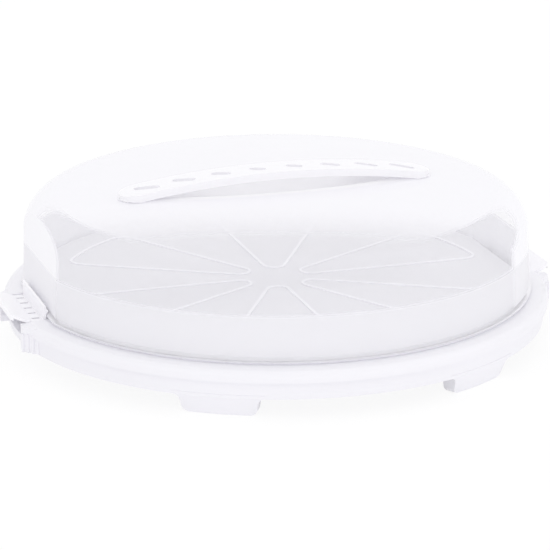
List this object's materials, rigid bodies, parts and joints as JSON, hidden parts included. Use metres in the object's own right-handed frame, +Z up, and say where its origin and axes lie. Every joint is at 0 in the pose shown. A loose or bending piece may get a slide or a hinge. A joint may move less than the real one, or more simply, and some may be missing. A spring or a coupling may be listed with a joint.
{
  "type": "round cake carrier",
  "caption": "Low round cake carrier: footed tray with petal lines on its plate, domed clear lid with a bow handle and two flats, and hinged side clips that hook the lid down.",
  "frame": {"origin": "on the table, at the middle of the tray", "axes": "+Z up, X through both side clips and along the handle, -Y the front"},
  "size_m": [0.3592, 0.3486, 0.1067],
  "materials": {
    "tray_white": "smooth moulded plastic, faint gloss",
    "lid_milky": "milky see-through plastic with a satin band at the foot",
    "handle_white": "smooth moulded plastic",
    "clip_white": "smooth moulded plastic"
  },
  "bodies": {
    "tray": {"base_tray": "tray_white"},
    "cover": {"lid": "lid_milky", "carry_handle": "handle_white"},
    "left_clip": {"clip_left": "clip_white"},
    "right_clip": {"clip_right": "clip_white"}
  },
  "joints": [
    {"name": "lid_lift", "type": "slide", "parent": "tray", "child": "cover", "axis": [0, 0, 1], "range_m": [0, 0.0235]},
    {"name": "right_clip_hinge", "type": "hinge", "parent": "tray", "child": "right_clip", "pos_m": [0.1657, 0, 0.026], "axis": [0, 1, 0], "range_deg": [0, 65]},
    {"name": "left_clip_hinge", "type": "hinge", "parent": "tray", "child": "left_clip", "pos_m": [-0.1657, 0, 0.026], "axis": [0, -1, 0], "range_deg": [0, 65]}
  ],
  "couplings": [
    {"joint": "right_clip_hinge", "follows": "lid_lift", "rad_per_m": 48.27},
    {"joint": "left_clip_hinge", "follows": "lid_lift", "rad_per_m": 48.27}
  ]
}
